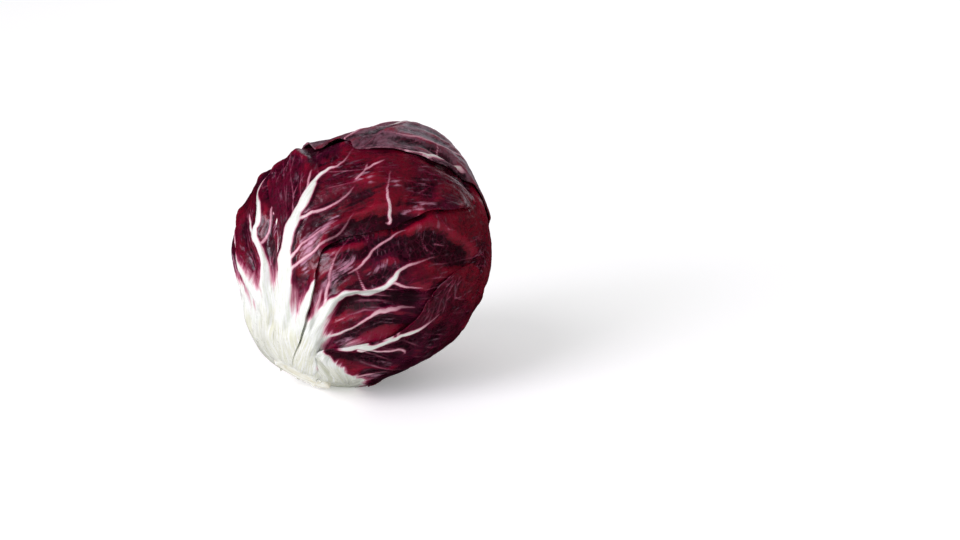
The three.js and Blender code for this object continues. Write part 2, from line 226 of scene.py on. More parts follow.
# Lengths are in millimetres, angles in degrees and the rest are shares
blade = {"fromAngle": 13, "rootAngle": 11.3,  # the bases run on into the stem's side, down to the second
         "thickness": 0.62, "ribThickness": 1.4, "gap": 0.22, "baseGap": 0.08, "tipRounding": 0.22,
         "waves": 9, "waviness": 0.05, "raggedness": 0.02, "rags": (61, 37),
         "spread": 3.0, "smoothing": 10,  # how far a covered leaf sinks beside what covers it
         "lift": 0.8, "curls": 11, "curlSlant": 5, "curlShare": 0.4,
         "pressedTo": 2, "wholeFrom": 9, "pressedShare": 0.2}  # near the ground its relief is pressed flat


# How far along its leaf a place gets, less towards the corners of the tip
def reachedAt(across, along):
    return along * (1 - blade["tipRounding"] * np.abs(across) ** 3 * along * along)


def halfWidthAt(leaf, across, reached):
    left, right = (throughStations(leaf[side], reached) for side in ("left", "right"))
    return np.where(across < 0, left, right)


# Where the points of a leaf lie, as directions: across runs from -1 to 1 and along from 0 to 1
def leafDirections(leaf, across, along):
    reached = reachedAt(across, along)
    polar = np.radians(mix(blade["fromAngle"], leaf["tip"], reached))
    ripple = np.sin(blade["waves"] * math.pi * reached + leaf["azimuth"])
    fine, finer = blade["rags"]
    ragged = np.sin(fine * reached + 2 * leaf["azimuth"]) * np.sin(finer * reached)
    wave = 1 + across * across * (blade["waviness"] * ripple + blade["raggedness"] * ragged)
    spread = np.sin(polar) + leaf["wrap"] * (1 - np.cos(polar))
    bend = np.radians(throughStations(leaf["midrib"], reached))
    turn = bend + across * halfWidthAt(leaf, across, reached) * wave / (head["radius"] * spread)
    onPlane = np.exp(1j * turn) / (1 / np.tan(polar / 2) + leaf["wrap"])
    folded = onPlane / (1 - leaf["wrap"] * onPlane)
    return directionAt(2 * np.arctan(np.abs(folded)), math.radians(leaf["azimuth"]) + np.angle(folded))


# How far out each direction meets the ground, where it faces down enough to matter
def groundAt(directions):
    facing, least = directions @ down, 0.5
    return np.where(facing > least, head["restHeight"] / np.maximum(facing, least), farOff)


# The head's own rounded, gently uneven outside
def headRadius(directions):
    x, y, z = (directions[..., k] for k in range(3))
    radius = 1 / np.sqrt((x * x + y * y) / head["radius"] ** 2 + (z / head["endRadius"]) ** 2)
    for polar, turn, height, spread in swells:
        radius = radius + height * np.exp(-(1 - directions @ directionOf(polar, turn)) / spread)
    p, q, r = (directions[..., k] / head["lobeSize"] for k in range(3))
    uneven = np.sin(0.5 * p + 0.9 * q) + np.sin(0.8 * r - 0.6 * p) * np.sin(0.7 * q + 0.3 * r)
    return radius + head["lobeHeight"] * uneven


noiseEntries = 4096
noiseStrides = np.array([1, 57, 911])


# Smooth noise from -1 to 1 on points of any number of dimensions, the same on every run
def softNoise(points, seed):
    table = np.random.default_rng(seed).uniform(-1, 1, noiseEntries)
    base = np.floor(points).astype(int)
    f = points - base
    f = f * f * (3 - 2 * f)
    total = 0
    for corner in range(2 ** points.shape[-1]):
        bits = np.array([(corner >> k) & 1 for k in range(points.shape[-1])])
        weight = np.prod(np.where(bits, f, 1 - f), axis=-1)
        total = total + weight * table[((base + bits) @ noiseStrides[:len(bits)]) % noiseEntries]
    return total


# Distance from the border between cells of about one unit, on flat points
def cellBorder(points, seed):
    table = np.random.default_rng(seed).uniform(0.1, 0.9, (noiseEntries, 2))
    base = np.floor(points).astype(int)
    nearest = np.full((2,) + points.shape[:-1], farOff)
    for dx in (-1, 0, 1):
        for dy in (-1, 0, 1):
            cell = base + [dx, dy]
            seat = cell + table[(cell @ noiseStrides[:2]) % noiseEntries]
            away = np.linalg.norm(points - seat, axis=-1)
            nearest[1] = np.minimum(nearest[1], np.maximum(nearest[0], away))
            nearest[0] = np.minimum(nearest[0], away)
    return nearest[1] - nearest[0]


# Two softly running values side by side, as points for the noise
def paired(first, second):
    return np.stack([first, second + 0 * first], -1)


drawn = {"steps": 5, "unevenness": 0.22, "uneven": 1.3, "sway": 0.007, "sways": 2.3,
         "taperFrom": 0.75, "taper": 0.85}


# A course of places joined by a smooth line: directions and half widths along it, tapering to a point
def drawCourse(places, seed=0):
    places = np.array(places, float)
    count = len(places)
    t = np.linspace(0, 1, drawn["steps"] * (count - 1) + 1)
    uneven = softNoise(paired(t * count * drawn["uneven"], seed * 3.7), 17)
    taper = 1 - np.clip((t - drawn["taperFrom"]) / (1 - drawn["taperFrom"]), 0, 1) ** 2 * drawn["taper"]
    widths = np.interp(t, np.linspace(0, 1, count), places[:, 2])
    widths = widths * (1 + drawn["unevenness"] * uneven) * taper
    corners = directionOf(places[:, 0], places[:, 1])
    line = np.stack([throughStations(list(corners[:, k]), t) for k in range(3)], -1)
    ahead = np.gradient(line, axis=0)
    ahead = ahead / np.linalg.norm(ahead, axis=-1, keepdims=True)
    sway = softNoise(paired(t * count * drawn["sways"], 9 + seed * 2.9), 19)
    line = line + drawn["sway"] * sway[:, None] * np.cross(line, ahead)
    return line / np.linalg.norm(line, axis=-1, keepdims=True), widths


# Bold side veins thin out along their way, and fade where leaf 2 shows its folds instead
veins = {"pairs": 9, "from": 0.16, "over": 0.78, "unevenness": 0.3, "stagger": 0.25, "reach": 0.94,
         "slant": 0.4, "bow": 0.1, "width": 0.5, "endWidth": 0.15, "wobble": 0.02, "steps": 13,
         "twigs": 3, "twigReach": (0.07, 0.13), "twigWidths": (0.35, 0.1),
         "boldness": 2.0, "thinning": 0.85, "fadingAt": (142, 10), "fading": 0.9}


# The veins that every leaf has: pairs that leave the midrib and sweep forward, and the twigs off each
def growVeins(leaf, seed):
    rng = np.random.default_rng(seed)
    sides, twigs = [], []

    def add(group, across, along, start, end):
        line = leafDirections(leaf, across, np.clip(along, 0, 1))
        group.append((line, np.linspace(start, end, len(across))))

    for side in (-1, 1):
        for k in range(veins["pairs"]):
            step = k + veins["unevenness"] * rng.random() + veins["stagger"] * (side > 0)
            start = veins["from"] + veins["over"] * step / veins["pairs"]
            sweep = veins["slant"] * (1 - 0.5 * start)
            t = np.linspace(0, veins["reach"], veins["steps"])
            wobble = veins["wobble"] * np.sin(9 * t + 6 * rng.random()) * t
            rows = start + sweep * t ** 1.2 + veins["bow"] * t * t + wobble
            add(sides, side * t, rows, veins["width"] * (1.1 - 0.5 * start), veins["endWidth"])
            for n in range(veins["twigs"]):
                at = 3 + 3 * n + int(rng.integers(0, 2))
                reach = rng.uniform(*veins["twigReach"])
                s = np.linspace(0, 1, 5)
                way = 1 if n % 2 else -0.35  # by turns away from the midrib and back
                add(twigs, side * (t[at] + way * 0.9 * reach * s),
                    rows[at] + reach * s * (1.1 - 0.3 * s) * (0.6 + 0.4 * way), *veins["twigWidths"])
    return sides, twigs


ridges = {"farthest": 3.0, "power": 0.8, "footShare": 1.5, "foot": 0.25, "roundness": 2.2}


# How far inside the edge of the nearest line each direction lies, in millimetres and down to the farthest
# outside it, the half width of that line, and the greatest ridge height there
def nearLines(directions, lines, boldness=0):
    nearness = np.full(directions.shape[:-1], -ridges["farthest"])
    size = np.zeros(directions.shape[:-1])
    ridge = np.zeros(directions.shape[:-1])
    for line, widths in lines:
        heights = boldness * widths ** ridges["power"]
        close = directions @ line.mean(0) > 0.1
        spots = directions[close]
        if not len(spots):
            continue
        for k in range(len(line) - 1):
            step = line[k + 1] - line[k]
            s = np.clip(((spots - line[k]) @ step) / max(step @ step, 1e-9), 0, 1)
            away = np.linalg.norm(spots - line[k] - s[..., None] * step, axis=-1) * head["radius"]
            wide = mix(widths[k], widths[k + 1], s)
            near = wide - away
            size[close] = np.where(near > nearness[close], wide, size[close])
            nearness[close] = np.maximum(nearness[close], near)
            shape = np.clip(1 - away / (ridges["footShare"] * wide + ridges["foot"]), 0, 1)
            shape = 1 - (1 - shape) ** ridges["roundness"]
            ridge[close] = np.maximum(ridge[close], mix(heights[k], heights[k + 1], s) * shape)
    return nearness, size, ridge


# Where the blade sinks between ribs or under a fold, or rises where the depth is less than nothing: places as
# in courses, then how deep
hollows = {
    1: [([(33, 22, 1.6), (37, 36, 2.2), (41, 48, 2.2)], 2.4),
        ([(45, 52, 1.6), (55, 50, 2.4), (66, 54, 3)], 2),
        ([(24, 8, 0.9), (20, 34, 1)], 0.9), ([(23, 14, 0.8), (18, 50, 0.9)], 0.8),
        ([(33, 60, 1.6), (37, 74, 2)], 1.6), ([(48, 70, 1.6), (58, 64, 2), (70, 62, 2.4)], 1.6)],
    2: [([(138, -8, 0.7), (141, -1, 0.9), (143, 8, 1), (143, 19, 1.1), (142, 30, 1.1),
          (140, 46, 1)], 2.4),
        ([(131, -27, 0.7), (136, -17, 0.9), (140, -8, 0.8), (143, 0, 0.6)], 1.8),
        ([(153, -20, 0.7), (158, -4, 0.9), (162, 20, 1.1), (160, 42, 1)], 2.2),
        ([(147, -14, 0.7), (150, 0, 0.8), (152, 16, 0.9), (150, 40, 0.9)], 1.8),
        ([(131, 8, 0.8), (133, 17, 1.1), (138, 26, 1)], 1.4),
        ([(138, -18, 0.8), (144, -8, 0.9), (147, 8, 0.9), (147, 30, 0.9)], -1.2),
        ([(144, -28, 0.8), (152, -14, 0.9), (156, 10, 0.9), (156, 40, 1)], -1.3),
        ([(128, -38, 0.7), (134, -33, 1), (141, -30, 1), (149, -30, 1)], 1.6),
        ([(142, -50, 1), (152, -44, 1.2), (162, -30, 1.2)], 1.8)],
    3: [([(40, -25, 1.8), (47, -23, 2), (54, -22, 2), (62, -20, 1.6)], 1.7),
        ([(84, -8, 2.4), (91, 2, 3.2), (96, 12, 4), (99, 24, 4)], 4.2),
        ([(80, -25, 1.6), (88, -20, 2), (96, -14, 2.2), (104, -8, 2)], 1.5),
        ([(62, -23, 1.2), (72, -16, 1.5), (82, -10, 1.5), (92, -5, 1.2)], 1.3),
        ([(58, -20, 0.9), (68, -15, 1), (78, -9, 1)], -0.9),
        ([(66, -25, 0.9), (76, -21, 1.2), (84, -17, 1)], -1),
        ([(100, -28, 1.4), (110, -22, 2), (118, -20, 1.6)], 1.4),
        ([(96, 14, 1.6), (104, 16, 1.8), (110, 22, 1.6)], -1.6),
        ([(102, 8, 1.2), (110, 10, 1.6), (120, 14, 1.4)], 1.6),
        ([(90, -43, 1.2), (100, -48, 1.6), (110, -56, 1.6)], 1.2),
        ([(114, -38, 1.4), (119, -52, 1.8), (122, -64, 1.6)], 1.6)],
    4: [([(54, 5, 1.6), (58, 10, 2.2), (62, 18, 2.6), (66, 26, 3), (71, 36, 3.2)], 4.4),
        ([(33, 5, 1.4), (40, 13, 1.8), (50, 23, 2.2), (56, 29, 2.6), (60, 38, 3)], 2.6),
        ([(56, -9, 1.4), (64, -6, 1.8), (74, -2, 2.4), (82, 4, 3.2), (88, 11, 3.8), (92, 20, 4.2),
          (96, 32, 4.4), (98, 48, 4.4)], 4.4),
        ([(28, 3, 1.4), (33, 11, 1.6), (43, 24, 2.4), (50, 33, 2.6)], 1.8),
        ([(64, 6, 1.4), (70, 11, 1.8), (76, 15, 2), (84, 24, 2.4)], 1.9),
        ([(44, -9, 0.8), (54, -9, 1.1), (64, -7, 1.3), (74, -1, 1.3), (82, 6, 1)], -1.9),
        ([(44, -7, 0.7), (54, -5, 0.9), (64, -2, 1), (72, 3, 1), (80, 10, 0.9)], 2),
        ([(50, -3, 0.7), (58, -2, 1), (66, 2, 1.2), (72, 7, 1)], -1.7)],
    5: [([(35, -40, 1.8), (48, -41, 2), (60, -45, 2), (72, -49, 1.8)], 2.4),
        ([(58, -59, 1.8), (66, -67, 2.2), (74, -74, 1.8)], 2.2),
        ([(45, -53, 1), (52, -57, 1.6), (58, -61, 1.6)], 1.6), ([(78, -52, 1.6), (90, -55, 2)], -1.4),
        ([(76, -47, 1.2), (88, -50, 1.6), (98, -52, 1.4)], 1.2),
        ([(90, -60, 1.2), (98, -64, 1.4), (108, -66, 1.2)], 1.3), ([(100, -76, 1), (108, -84, 1.4)], 1.6)],
    6: [([(32, -70, 1.4), (40, -72, 1.8), (50, -78, 1.8)], 2),
        ([(28, -106, 1.4), (40, -98, 1.8), (54, -100, 2)], 1.8),
        ([(46, -66, 1.2), (54, -76, 1.4), (62, -86, 1.4)], 1.3)],
}
relief = {"midribHeights": (2.3, 0.4), "midribWidths": (3.6, 0.4), "midribUnevenness": 0.25,
          "boldness": 0.62, "fineBoldness": 0.35, "baseShare": 0.25, "sweep": 1.3, "squeeze": 0.75,
          "pucker": 0.15, "puckerSize": 5.5, "puckerBorder": 2.4, "crumple": 1.25, "crumpleSize": 11,
          "ripple": 1.1, "rippleWide": 4.2, "rippleLong": 32, "rippleBend": 0.9,
          "wrinkle": 0.85, "wrinkleSize": 5, "flute": 0.5, "fluteWide": 2.6, "fluteLong": 26,
          "grain": 0.02, "grainSize": 1.9, "foldSmoothing": 30, "foldShare": 0.13}
# Each leaf's noises start from these and its number
seeds = {"veins": 40, "midrib": 200, "crumple": 70, "bend": 60, "ripple": 90, "share": 30, "wrinkle": 50,
         "grain": 120}
# The polar angles between which each thing comes in, away from the stiff, smooth bases at the stem
comesIn = {"rib": (17, 34), "pucker": (26, 60), "crumple": (24, 52), "wrinkle": (54, 86), "blade": (30, 50),
           "margin": (30, 70), "gap": (20, 50), "spread": (19, 32), "thinness": (20, 60)}
# How far from the stem the white of each leaf's base reaches, in degrees, how ragged its edge is and how far
# on it runs beside a rib. Leaf 1's has a clear, torn edge.
baseWhite = {1: 27, 2: 34, 3: 38, 4: 35, 5: 42, 6: 40}
usualWhite = 34
whiteEdge = {"raggedness": 2.4, "byRib": 4, "runsOn": 3.2, "fallsBack": 16, "strip": -24,
             "tornRaggedness": 1.3, "tornHeight": 1.0, "tornSharpness": 7}
whiteStopsAt = {4: (-4, 14)}  # turns between which the white falls back
laidSheets = []  # inner faces of the leaves laid so far, as vertices and faces


# How far out each direction first meets a leaf that is already laid
def coverOver(directions):
    if not laidSheets:
        return np.full(len(directions), farOff)
    corners, faces, base = [], [], 0
    for sheet, quads in laidSheets:
        corners += sheet.tolist()
        faces += (quads + base).tolist()
        base += len(sheet)
    tree = BVHTree.FromPolygons(corners, faces)
    centre = Vector((0, 0, 0))
    hits = [tree.ray_cast(centre, Vector(d))[3] for d in directions.tolist()]
    return np.array([farOff if hit is None else hit for hit in hits])


# The same field moved by one cell each way
def besides(field):
    padded = np.pad(field, 1, mode="edge")
    return padded[1:-1, 2:], padded[1:-1, :-2], padded[2:, 1:-1], padded[:-2, 1:-1]


def gridFaces(height, width):
    at = np.arange(height * width).reshape(height, width)
    return np.stack([at[:-1, :-1], at[:-1, 1:], at[1:, 1:], at[1:, :-1]], -1).reshape(-1, 4)


# A leaf's grid: across and along, as directions and angles, in millimetres on the flat blade, and in
# millimetres along and across the side veins, which sweep forward from the midrib
def layGrid(leaf):
    cellsAcross, cellsAlong = leaf["cells"]
    root = (blade["rootAngle"] - blade["fromAngle"]) / (leaf["tip"] - blade["fromAngle"])
    across, along = np.meshgrid(np.linspace(-1, 1, cellsAcross + 1), np.linspace(root, 1, cellsAlong + 1))
    sheet = SimpleNamespace(across=across, along=along, directions=leafDirections(leaf, across, along))
    sheet.polar = np.arccos(-sheet.directions[..., 2])
    sheet.turn = np.arctan2(sheet.directions[..., 1], sheet.directions[..., 0])
    sheet.sideways = across * halfWidthAt(leaf, across, reachedAt(across, along))
    sheet.lengthways = np.radians(leaf["tip"] - blade["fromAngle"]) * head["radius"] * along
    tilt = math.hypot(1, relief["sweep"])
    outwards = np.sqrt(sheet.sideways ** 2 + 4)  # rounded off at the midrib
    sheet.alongVeins = (outwards + relief["sweep"] * sheet.lengthways) / tilt
    sheet.acrossVeins = (sheet.lengthways - relief["sweep"] * outwards) / tilt
    sheet.flat = paired(sheet.alongVeins * relief["squeeze"], sheet.acrossVeins)
    return sheet


def comes(sheet, thing):
    return rise(sheet.polar, *np.radians(comesIn[thing]))


# Ribs and veins: the sheet gets how near each place is to one and how broad that is. The ridges come back.
def raiseRibs(number, leaf, sheet):
    sides, fine = growVeins(leaf, seeds["veins"] + number)
    bold = [drawCourse(course, k) for k, course in enumerate(courses.get(number, []))]
    if number in boldVeins:
        for line, widths in sides:
            thins = 1 - np.linspace(0, 1, len(line)) ** 1.5 * veins["thinning"]
            fades = 1 - veins["fading"] * rise(line @ directionOf(*veins["fadingAt"]), 0.8, 0.9)
            bold.append((line, widths * veins["boldness"] * thins * fades))
    else:
        fine = sides + fine
    sheet.rib, sheet.size, ridge = nearLines(sheet.directions, bold, relief["boldness"])
    ridge = ridge * mix(relief["baseShare"], 1, comes(sheet, "rib"))
    sheet.vein, _, fineRidge = nearLines(sheet.directions, fine, relief["fineBoldness"])
    if number not in drawnMidribs:
        width = mix(*relief["midribWidths"], np.maximum(sheet.along, 0) ** 0.6)
        uneven = softNoise(paired(sheet.lengthways / 7, 0), seeds["midrib"] + number)
        width = width * (1 + relief["midribUnevenness"] * uneven)
        inside = width - np.abs(sheet.sideways)
        sheet.size = np.where(inside > sheet.rib, width, sheet.size)
        sheet.rib = np.maximum(sheet.rib, inside)
        crown = np.exp(-((sheet.sideways / width) ** 2))
        ridge = np.maximum(ridge, mix(*relief["midribHeights"], sheet.along) * crown)
    return np.maximum(ridge, fineRidge)


# The blade puckers between its fine veins, less on a rib
def puckerBlade(number, sheet, ridge):
    size, flat = relief["puckerSize"], sheet.flat
    bent = paired(softNoise(flat / 5, number), softNoise(flat / 5 + 40, number))
    sheet.border = cellBorder(flat / size + 0.25 * bent, number) * size
    offRib = 1 - np.clip(ridge / 0.6, 0, 1)
    crowned = rise(sheet.border, 0, relief["puckerBorder"]) - 0.6
    return relief["pucker"] * crowned * comes(sheet, "pucker") * mix(0.35, 1, offRib)


# Lobes, ripples that run with the side veins and wrinkles further out, and flutes on the base
def crumpleBlade(number, sheet):
    flat = sheet.flat
    crumple = relief["crumple"] * softNoise(flat / relief["crumpleSize"], seeds["crumple"] + number)
    bend = relief["rippleBend"] * softNoise(flat / 11, seeds["bend"] + number)
    ripple = softNoise(paired(sheet.alongVeins / relief["rippleLong"],
                              sheet.acrossVeins / relief["rippleWide"] + bend), seeds["ripple"] + number)
    comesAndGoes = 0.55 + 0.45 * softNoise(flat / 17, seeds["share"] + number)
    ripple = relief["ripple"] * (1 - 1.6 * np.abs(ripple)) * comesAndGoes
    wrinkle = relief["wrinkle"] * softNoise(flat / relief["wrinkleSize"], seeds["wrinkle"] + number)
    crumple = (crumple + ripple + wrinkle * comes(sheet, "wrinkle")) * comes(sheet, "crumple")
    flute = softNoise(paired(sheet.sideways / relief["fluteWide"],
                             sheet.lengthways / relief["fluteLong"]), number)
    return crumple + relief["flute"] * (flute - 0.3) * (1 - comes(sheet, "blade"))


# How far beyond the white of its base each place lies, in degrees. What comes back stands proud there.
def whitenBase(number, sheet):
    ragged = softNoise(paired(sheet.turn * 9, sheet.polar * 9), 7)
    ragged = ragged + 0.6 * softNoise(paired(sheet.turn * 26, sheet.polar * 22), 8)
    beyond = np.degrees(sheet.polar) - baseWhite.get(number, usualWhite)
    if number == 1:
        torn = beyond - whiteEdge["tornRaggedness"] * ragged
        sheet.white = whiteEdge["tornSharpness"] * torn
        return whiteEdge["tornHeight"] * rise(torn, -0.6, 0.8) * (1 - rise(torn, 6, 16))
    white = beyond - whiteEdge["raggedness"] * ragged
    byRib = np.clip(sheet.rib + whiteEdge["byRib"], 0, whiteEdge["byRib"])
    white = white - whiteEdge["runsOn"] * byRib
    if number in whiteStopsAt:
        white = white + whiteEdge["fallsBack"] * rise(np.degrees(sheet.turn), *whiteStopsAt[number])
    for strip in ivoryStrips.get(number, []):
        near = nearLines(sheet.directions, [drawCourse(strip)])[0]
        white = mix(white, whiteEdge["strip"], rise(near, -0.7, 0.5))
    sheet.white = white
    return 0


# Where the skin is grey, partly from folding over the tip and partly as a painted sheen; where it is duller
# and more purple, partly as painted shade; and where it gets painted lilac gloss patches
def spotBlade(number, sheet):
    none = np.zeros(sheet.along.shape)
    # leaf 2's tip: partly a greyer, tired tone and partly a painted sheen
    sheet.tired = rise(sheet.along, 0.66, 0.86) if number == 2 else none
    sheet.dusk = sheet.bloom = none
    # dusky spots: partly a duller tone of the leaf and partly painted shade
    for polar, turn, reach in duskSpots.get(number, []):
        away = 2 * (1 - sheet.directions @ directionOf(polar, turn)) * (head["radius"] / reach) ** 2
        sheet.dusk = np.maximum(sheet.dusk, np.exp(-away))
    # painted reflection: the lilac gloss patches along the given courses
    for course in blooms.get(number, []):
        near = nearLines(sheet.directions, [drawCourse(course)])[0]
        sheet.bloom = np.maximum(sheet.bloom, rise(near, -2.8, 1.6))


def sinkFolds(number, sheet):
    sunk = 0
    for course, depth in hollows.get(number, []):
        line, widths = drawCourse(course)
        near = nearLines(sheet.directions, [(line, widths)])[0]
        sunk = sunk - depth * rise(near, -0.9 * widths.mean(), 0.9 * widths.mean())
    return sunk


# A covered leaf sinks a little way out from under what covers it
def sinkBeside(ceiling, sheet):
    skin = ceiling
    acrossStep = np.linalg.norm(np.diff(sheet.directions, axis=1), axis=-1).mean() * head["radius"]
    for _ in range(max(1, round(blade["spread"] / acrossStep))):
        skin = np.minimum.reduce([skin, *besides(skin)])
    for _ in range(blade["smoothing"]):
        skin = np.minimum(ceiling, sum(besides(skin)) / 4)
    return mix(ceiling, skin, comes(sheet, "spread"))  # the bases are grown together


# Works out one leaf: its directions, its outer and inner radius and what its material reads
def layLeaf(number, leaf):
    sheet = layGrid(leaf)
    across, along, directions = sheet.across, sheet.along, sheet.directions
    ridge = raiseRibs(number, leaf, sheet)
    pucker = puckerBlade(number, sheet, ridge)
    crumple = crumpleBlade(number, sheet) + whitenBase(number, sheet)
    spotBlade(number, sheet)
    sunk = sinkFolds(number, sheet)

    edge = np.maximum(np.abs(across) ** 6, along ** 8) * comes(sheet, "margin")
    curl = blade["curlShare"] * np.sin(blade["curls"] * along + blade["curlSlant"] * across)
    lift = blade["lift"] * (0.3 if number == 2 else 1) * edge * (1 - blade["curlShare"] + curl)
    ground = groundAt(directions)
    unpressed = rise(ground, head["radius"] + blade["pressedTo"], head["radius"] + blade["wholeFrom"])
    ridge = ridge * unpressed
    free = headRadius(directions) + lift + (crumple + sunk) * mix(blade["pressedShare"], 1, unpressed)
    gap = mix(blade["baseGap"], blade["gap"], comes(sheet, "gap"))
    room = coverOver(directions.reshape(-1, 3)).reshape(along.shape) - gap
    ceiling = np.minimum(np.minimum(free, ground), room - ridge - np.maximum(pucker, 0))
    skin = sinkBeside(ceiling, sheet)
    skin = np.where(ground < free, np.minimum(ceiling, ground), skin)

    grain = softNoise(sheet.flat / relief["grainSize"], seeds["grain"] + number) * comes(sheet, "pucker")
    grain = relief["grain"] * grain
    sheet.outer = np.minimum(skin + ridge + (pucker + grain) * unpressed, ground)
    thick = mix(blade["ribThickness"] if number > 1 else blade["thickness"], blade["thickness"],
                np.maximum(rise(np.abs(across), 0.1, 0.9), comes(sheet, "thinness")))
    sheet.inner = np.minimum(sheet.outer, skin) - thick
    # how far the blade lies below its own surroundings, for the painted shade down in its folds and the
    # painted highlight on its crests
    around = sheet.outer
    for _ in range(relief["foldSmoothing"]):
        around = sum(besides(around)) / 4
    sheet.fold = around - sheet.outer + ridge - relief["foldShare"] * sunk
    laidSheets.append(((directions * sheet.inner[..., None])[::2, ::2].reshape(-1, 3),
                       gridFaces(*sheet.inner[::2, ::2].shape)))
    return sheet


def deselectAll():
    for other in bpy.context.selected_objects:
        other.select_set(False)


def pick(piece):
    deselectAll()
    piece.select_set(True)
    bpy.context.view_layer.objects.active = piece


def applyModifiers(piece):
    pick(piece)
    for modifier in list(piece.modifiers):
        bpy.ops.object.modifier_apply(modifier=modifier.name)


def faceOutwards(piece):
    pick(piece)
    bpy.ops.object.mode_set(mode="EDIT")
    bpy.ops.mesh.select_all(action="SELECT")
    bpy.ops.mesh.normals_make_consistent(inside=False)
    bpy.ops.object.mode_set(mode="OBJECT")


def vertexPlaces(piece):
    co = np.empty(len(piece.data.vertices) * 3, np.float32)
    piece.data.vertices.foreach_get("co", co)
    return co.reshape(-1, 3).astype(float)


def placeVertices(piece, points):
    piece.data.vertices.foreach_set("co", points.astype(np.float32).ravel())
    piece.data.update()


def addAttribute(piece, name, values):
    attribute = piece.data.attributes.new(name, "FLOAT", "POINT")
    attribute.data.foreach_set("value", values.astype(np.float32).ravel())


# the fields the skin reads; the fold field places painted shade in folds and painted highlight on crests
skinFields = ("rib", "size", "vein", "border", "white", "fold", "dusk", "tired", "bloom")
flatUnit = 100  # millimetres of blade to one unit of its UV maps


# A flat grid is bent to the leaf's outer face, given its wall, and the wall's inner side is then set
def makeLeaf(number, leaf):
    sheet = layLeaf(number, leaf)
    cellsAcross, cellsAlong = leaf["cells"]
    deselectAll()
    bpy.ops.mesh.primitive_grid_add(x_subdivisions=cellsAcross, y_subdivisions=cellsAlong, size=2)
    piece = bpy.context.object
    piece.name = piece.data.name = f"radicchio_leaf_{number:02d}"
    co = vertexPlaces(piece)
    i = np.rint((co[:, 0] + 1) / 2 * cellsAcross).astype(int)
    j = np.rint((co[:, 1] + 1) / 2 * cellsAlong).astype(int)
    outer = toScene(sheet.directions * sheet.outer[..., None])[j, i]
    inner = toScene(sheet.directions * sheet.inner[..., None])[j, i]
    placeVertices(piece, outer)
    for name in skinFields:
        addAttribute(piece, name, getattr(sheet, name)[j, i])
    loops = np.empty(len(piece.data.loops), int)
    piece.data.loops.foreach_get("vertex_index", loops)
    piece.data.uv_layers[0].name = "blade"
    piece.data.uv_layers.new(name="veinwise")
    for name, first, second in (("blade", sheet.sideways, sheet.lengthways),
                                ("veinwise", sheet.alongVeins, sheet.acrossVeins)):
        uv = paired(first, second)[j, i] / flatUnit
        piece.data.uv_layers[name].data.foreach_set("uv", uv[loops].astype(np.float32).ravel())
    middle = piece.data.polygons[len(piece.data.polygons) // 2]
    if middle.normal.dot(middle.center - headCentre) < 0:
        piece.data.flip_normals()
    wall = piece.modifiers.new("wall", "SOLIDIFY")
    wall.thickness = blade["thickness"] * mm
    wall.offset = -1
    applyModifiers(piece)
    both = np.concatenate([outer, inner])
    assert len(piece.data.vertices) == len(both), "the wall has other vertices than its two faces"
    placeVertices(piece, both)
    piece.data.shade_smooth()
    bpy.ops.object.shade_smooth_by_angle(angle=math.radians(70))
    print(f"{piece.name}: {len(piece.data.polygons)} faces")
    return piece


# Shader maths: a wire is one output socket, and sums of wires and numbers add the Math nodes for them
class Wire:
    def __init__(self, shade, socket):
        self.shade = shade
        self.socket = socket

    def math(self, operation, *others):
        node = self.shade.node("ShaderNodeMath", {"operation": operation}, dict(enumerate((self, *others))))
        return Wire(self.shade, node.outputs[0])

    def __add__(self, other): return self.math("ADD", other)
    def __radd__(self, other): return self.math("ADD", other)
    def __sub__(self, other): return self.math("SUBTRACT", other)
    def __rsub__(self, other): return self.math("MULTIPLY", -1).math("ADD", other)
    def __mul__(self, other): return self.math("MULTIPLY", other)
    def __rmul__(self, other): return self.math("MULTIPLY", other)


